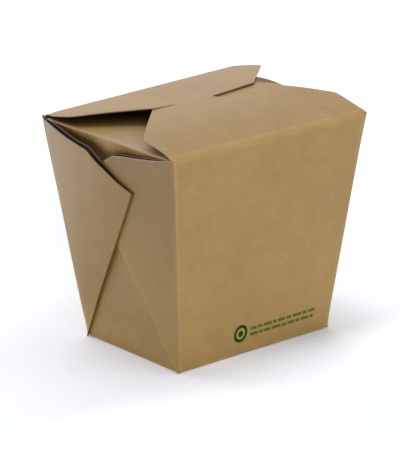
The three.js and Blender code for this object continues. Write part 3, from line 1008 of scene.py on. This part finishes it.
    def build(self, name):
        columns = self.columns()
        grid = np.zeros((len(columns), len(GUSSET_ROWS), 3))
        wear_and_highlight, shade = np.zeros(grid.shape[:2]), np.zeros(grid.shape[:2])
        for j, t in enumerate(GUSSET_ROWS):
            first = min(CORNER_SIDE / (t * self.reaches[0] * GUSSET_ANGLE), WIDEST_CORNER)
            guides = self.corner_guides(t, first)
            for i, (kind, value) in enumerate(columns):
                if kind == "corner":
                    point = self.corner_point(guides, value, t, first)
                elif kind == "outer":
                    point = self.outer_point(lerp(first, 1, value), t)
                elif kind == "turn":
                    point = self.turn_point(value, t)
                else:
                    point = self.inner_point(lerp(first, 1, value), t)
                grid[i, j], wear_and_highlight[i, j], shade[i, j] = point
        # The gussets' inner faces are painted shade, and so are the back gussets' rims
        rim = CUT_EDGE if self.corner < 0 else SHADED_RIM
        return board(name, grid, (self.side, 0, 0), wear_and_highlight, shade, at=FLAT_POINT, edge_wear=0, inside=PAINTED_SHADE_BOARD,
                     rim_board=rim)


def print_marks():
    """A ring, a disc and two rows of short bars in green ink, low on the front panel."""
    verts, faces = [], []

    def on_panel(x, up):
        z = up * math.cos(FRONT_LEAN)
        y = -half_depth(z) - INK_LIFT * math.cos(FRONT_LEAN)
        return (x * MM, y * MM, (z - INK_LIFT * math.sin(FRONT_LEAN)) * MM)

    def patch(outline_a, outline_b):
        start = len(verts)
        for a, b in zip(outline_a, outline_b):
            verts.extend([on_panel(*a), on_panel(*b)])
        for k in range(len(outline_a) - 1):
            faces.append((start + 2 * k, start + 2 * k + 2, start + 2 * k + 3, start + 2 * k + 1))

    def circle(up, radius):
        angles = np.linspace(0, 2 * math.pi, RING_STEPS + 1)
        return [(MARK_X + radius * math.cos(a), up + radius * MARK_STRETCH * math.sin(a)) for a in angles]

    def bar(x, up, length):
        low, high = up - BAR_HEIGHT / 2, up - BAR_HEIGHT / 2 + BAR_HEIGHT
        patch([(x, low), (x + length, low)], [(x, high), (x + length, high)])

    for up, inner, outer in MARK_RINGS:
        patch(circle(up, inner), circle(up, outer))
    full_ink = len(faces)
    for up, lengths in BAR_ROWS:
        x = BAR_X
        for length in lengths:
            bar(x, up, length)
            x += length + BAR_GAP
    runs = [(GREEN_INK, full_ink), (THIN_INK, len(faces) - full_ink)]
    mesh = new_mesh("printed_marks", verts, faces, runs)
    mesh.update()
    return place("printed_marks", mesh)


WideSheet(-1, SHORT_CUT, 0, FRONT_TURNS, FRONT_FOLD).build("front_panel_and_flap")
WideSheet(1, CUT_CORNER, ROOT_NOTCH, BACK_TURNS, (CREASE, CREASE)).build("back_panel_and_flap")
for side, word in ((-1, "left"), (1, "right")):
    SideSheet(side).build(f"{word}_panel_and_tab")
    Gusset(FRONT_GUSSET, side, -1).build(f"{word}_front_gusset")
    Gusset(BACK_GUSSET, side, 1).build(f"{word}_back_gusset")
base_sheet()
print_marks()


# ---- floor, light and camera, in metres ----

FLOOR_COLOUR, GRAIN = (0.88, 0.918, 0.965), 0.985
FLOOR_REACH = 3.0
FLOOR_DROP = 0.00005
WHITE = (1, 1, 1)

# Painted light: the floor is painted, and glows, cooler right in front of the box, against the warm light
# that the box throws there
COOL_GLOW, COOL_PAPER = (0.98, 1.01, 1.09), (0.97, 1.0, 1.035)
COOL_LEFT_RANGE, COOL_RIGHT_RANGE, COOL_FRONT_RANGE = (-0.06, 0.0), (0.015, 0.05), (-0.02, -0.034)

# The floor's own glow is painted light, which keeps it as white as in the photo: more in front and behind,
# and a painted contact shadow, with less glow, along the right part of the front panel's foot
GLOW = 0.19
FRONT_GLOW_RANGE, FRONT_GLOW = (-0.036, -0.07), (0.25, 0.09)
FRONT_FADE_RANGE = (-0.08, -0.13)
BACK_GLOW_RANGE, BACK_GLOW = (0.035, 0.1), 0.15
CONTACT_LEFT_RANGE, CONTACT_RIGHT_RANGE = (-0.02, 0.03), (0.05, 0.08)
CONTACT_RANGE, CONTACT_SHADE = (-0.054, -0.036), 0.17

# The room's light: direction, cosines where it begins and where it is full, strength, whether only low down
DIAGONAL = 0.7071
ROOM_LIGHT = [
    ((0, 0, 1), 0.35, 0.9, 0.02, False),
    ((1, 0, 0), 0.1, 0.8, 0.91, True),
    ((0, -DIAGONAL, DIAGONAL), 0.6, 0.95, 1.13, False),
    ((DIAGONAL, 0, DIAGONAL), 0.6, 0.95, 0.07, False),
    ((0, DIAGONAL, DIAGONAL), 0.6, 0.95, 1.71, False),
]
LOW_DOWN_RANGE = (0.8, 0.35)
LAMP_TARGET = Vector((0, 0, 0.08))
TINT_RANGE, FRONT_TINT, BACK_TINT = (0.1, 0.6), (1.0, 0.985, 0.995), (0.98, 0.965, 1.055)

# The camera is fitted to the box's corners, for an image of 410 by 450
AZIMUTH, ELEVATION, ROLL = math.radians(-39.466), math.radians(18.324), math.radians(-0.962)
CAMERA_PLACE = Vector((-0.775556, -0.941236, 0.454109))
FOCAL_PIXELS = 2905.15
IMAGE_HEIGHT = 450
SENSOR = 36


def towards(azimuth, elevation):
    """Unit vector from the box towards a place, at an azimuth from the front and an elevation."""
    level = math.cos(elevation)
    return Vector((math.sin(azimuth) * level, -math.cos(azimuth) * level, math.sin(elevation)))


def floor_with_painted_light():
    material, nt, shader, coords = new_material("floor_with_painted_light")
    grain = noise(nt, coords, scale=40, detail=3)
    paper = mix_colour(nt, ramp(nt, 0.3, 0.7, grain), FLOOR_COLOUR, tuple(c * GRAIN for c in FLOOR_COLOUR))
    preset(shader, {"Roughness": 0.9, "Specular IOR Level": 0.1})
    x, y = axes(nt, coords)[:2]
    cool = times(nt, ramp(nt, *COOL_LEFT_RANGE, x), ramp(nt, *COOL_RIGHT_RANGE, x, 1, 0))
    cool = times(nt, cool, ramp(nt, *COOL_FRONT_RANGE, y))
    nt.links.new(mix_colour(nt, cool, WHITE, COOL_GLOW), shader.inputs["Emission Color"])
    paper = vector_math(nt, "MULTIPLY", paper, 1, mix_colour(nt, cool, WHITE, COOL_PAPER))
    nt.links.new(paper, shader.inputs["Base Color"])

    front = times(nt, ramp(nt, *FRONT_GLOW_RANGE, y), ramp(nt, *FRONT_FADE_RANGE, y, *FRONT_GLOW))
    level = plus(nt, front, GLOW)
    level = plus(nt, level, ramp(nt, *BACK_GLOW_RANGE, y, 0, BACK_GLOW))
    # Painted contact shadow: less glow along the right part of the front panel's foot
    painted_contact_shadow = times(nt, ramp(nt, *CONTACT_LEFT_RANGE, x), ramp(nt, *CONTACT_RIGHT_RANGE, x, 1, 0))
    painted_contact_shadow = times(nt, painted_contact_shadow, ramp(nt, *CONTACT_RANGE, y, 0, CONTACT_SHADE))
    nt.links.new(math_node(nt, "SUBTRACT", level, painted_contact_shadow, clamp=True), shader.inputs["Emission Strength"])
    return material


def glow(nt, direction, axis, low, high, strength, low_down):
    """Light from one part of the room. Low down, it fades out towards the ceiling."""
    facing = nt.nodes.new("ShaderNodeVectorMath")
    facing.operation = "DOT_PRODUCT"
    facing.inputs[1].default_value = axis
    nt.links.new(direction, facing.inputs[0])
    level = times(nt, ramp(nt, low, high, facing.outputs["Value"], kind="SMOOTHSTEP"), strength)
    if low_down:
        fade = ramp(nt, *LOW_DOWN_RANGE, axes(nt, direction)["Z"], kind="SMOOTHSTEP")
        level = times(nt, fade, level)
    return level


def softbox(name, azimuth, elevation, distance, size, power):
    data = bpy.data.lights.new(name, "AREA")
    data.shape = "DISK"
    data.size = size
    data.energy = power
    lamp = new_object(name, data)
    back = towards(math.radians(azimuth), math.radians(elevation))
    lamp.location = LAMP_TARGET + back * distance
    lamp.rotation_mode = "QUATERNION"
    lamp.rotation_quaternion = (-back).to_track_quat("-Z", "Y")


def studio_world():
    world = bpy.data.worlds.new("studio")
    bpy.context.scene.world = world
    world.use_nodes = True
    room = world.node_tree
    direction = room.nodes.new("ShaderNodeTexCoord").outputs["Generated"]
    total = 0.0
    for light in ROOM_LIGHT:
        total = plus(room, total, glow(room, direction, *light))
    room.links.new(total, room.nodes["Background"].inputs["Strength"])
    tint = mix_colour(room, ramp(room, *TINT_RANGE, axes(room, direction)["Y"]), FRONT_TINT, BACK_TINT)
    room.links.new(tint, room.nodes["Background"].inputs["Color"])


def photo_camera():
    back = towards(AZIMUTH, ELEVATION)
    right = Vector((0, 0, 1)).cross(back).normalized()
    up = back.cross(right)
    rolled_right = math.cos(ROLL) * right + math.sin(ROLL) * up
    rolled_up = -math.sin(ROLL) * right + math.cos(ROLL) * up
    data = bpy.data.cameras.new("camera")
    data.sensor_width = SENSOR
    data.lens = FOCAL_PIXELS * SENSOR / IMAGE_HEIGHT
    data.clip_start = 0.05
    data.clip_end = 20
    camera = new_object("camera", data)
    turn = Matrix((rolled_right, rolled_up, back)).transposed()
    camera.matrix_world = Matrix.Translation(CAMERA_PLACE) @ turn.to_4x4()
    bpy.context.scene.camera = camera


corners = [(x * FLOOR_REACH, y * FLOOR_REACH, 0) for x, y in ((-1, -1), (1, -1), (1, 1), (-1, 1))]
floor = new_object("floor", new_mesh("floor", corners, [(0, 1, 2, 3)], [(floor_with_painted_light(), 1)]))
floor.location.z = -FLOOR_DROP

studio_world()
softbox("key", azimuth=-60, elevation=62, distance=1.4, size=0.4, power=0.35)
photo_camera()
bpy.context.scene.view_settings.view_transform = "Standard"
